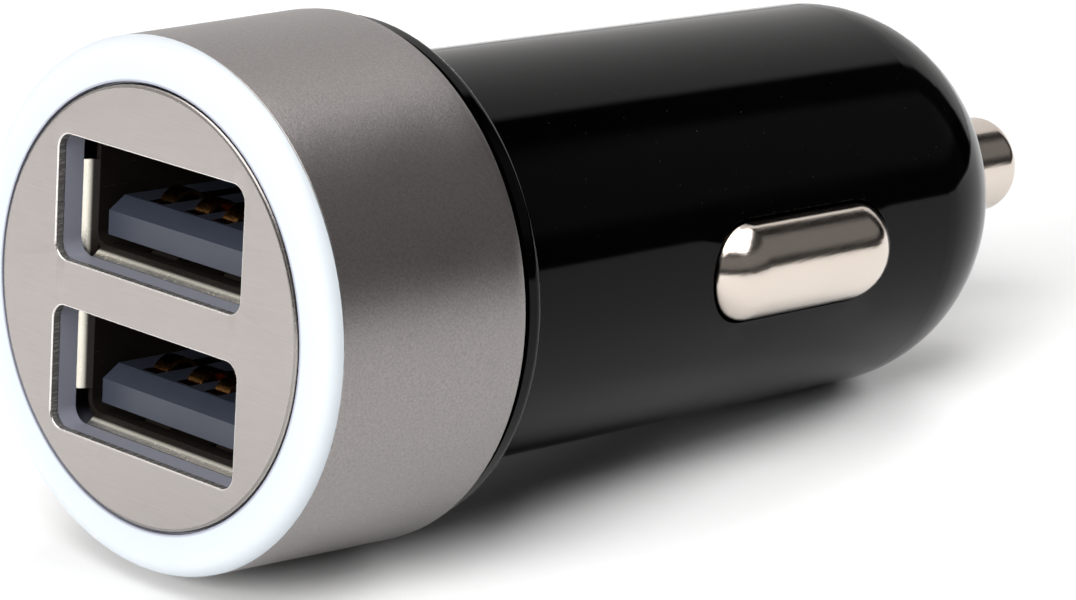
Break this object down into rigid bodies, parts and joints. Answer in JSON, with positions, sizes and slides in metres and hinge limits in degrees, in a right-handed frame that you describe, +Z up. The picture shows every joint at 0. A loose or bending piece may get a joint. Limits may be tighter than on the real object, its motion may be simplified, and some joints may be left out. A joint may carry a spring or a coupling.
{
  "type": "car usb charger plug",
  "caption": "Round charger plug for a vehicle's accessory socket: stacked USB-A receptacles in a metal face with a lit ring, metal sleeve, glossy barrel, sprung tip and side contacts.",
  "frame": {"origin": "middle of the bounding box's lower face, on the surface the plug lies on", "axes": "+X from the face with the receptacles toward the tip contact, +Y sideways toward the left side contact, +Z up; the plug axis lies in the XZ plane and slopes down by 4.42 degrees toward +X"},
  "size_m": [0.0638, 0.0262, 0.0267],
  "materials": {
    "face_metal": "fine satin, warm grey",
    "light_guide": "frosted clear plastic, lit from behind",
    "sleeve_metal": "matt anodised, warm grey",
    "black_gloss": "polished black",
    "nickel": "nickel plated brass",
    "spring_steel": "drawn wire",
    "bronze": "spring bronze",
    "shell_steel": "tinned sheet steel",
    "black_matte": "black moulded insulator",
    "gold_contact": "gold plated",
    "board_green": "solder mask",
    "led_white": "white diode package",
    "ferrite": "ferrite block",
    "can_metal": "bright can",
    "chip_black": "moulded package",
    "ceramic_white": "ceramic body",
    "ceramic_tan": "ceramic bodies"
  },
  "bodies": {
    "charger": {"face_plate": "face_metal", "light_ring": "light_guide", "sleeve": "sleeve_metal", "housing": "black_gloss", "tip_spring": "spring_steel", "tip_terminal": "bronze", "side_spring_left": "bronze", "side_spring_right": "bronze", "usb_shell_upper": "shell_steel", "usb_shell_lower": "shell_steel", "usb_insulator_upper": "black_matte", "usb_insulator_lower": "black_matte", "usb_contacts_upper": "gold_contact", "usb_contacts_lower": "gold_contact", "main_board": "board_green", "ring_leds": "led_white", "inductor": "ferrite", "input_capacitor": "can_metal", "output_capacitor": "can_metal", "converter_chip": "chip_black", "port_controllers": "chip_black", "catch_diode": "chip_black", "input_fuse": "ceramic_white", "board_passives": "ceramic_tan"},
    "tip": {"tip_contact": "nickel"},
    "left_pad": {"side_contact_left": "nickel"},
    "right_pad": {"side_contact_right": "nickel"}
  },
  "joints": [
    {"name": "tip_press", "type": "slide", "parent": "charger", "child": "tip", "axis": [-0.997, 0, 0.0771], "range_m": [0, 0.0025], "stiffness_N_per_m": 2400, "springref_m": -0.0016, "deforming": ["tip_spring"]},
    {"name": "left_pad_press", "type": "slide", "parent": "charger", "child": "left_pad", "axis": [0, -1, 0], "range_m": [0, 0.0015], "stiffness_N_per_m": 3000, "springref_m": -0.0008, "deforming": ["side_spring_left"]},
    {"name": "right_pad_press", "type": "slide", "parent": "charger", "child": "right_pad", "axis": [0, 1, 0], "range_m": [0, 0.0015], "stiffness_N_per_m": 3000, "springref_m": -0.0008, "deforming": ["side_spring_right"]}
  ]
}
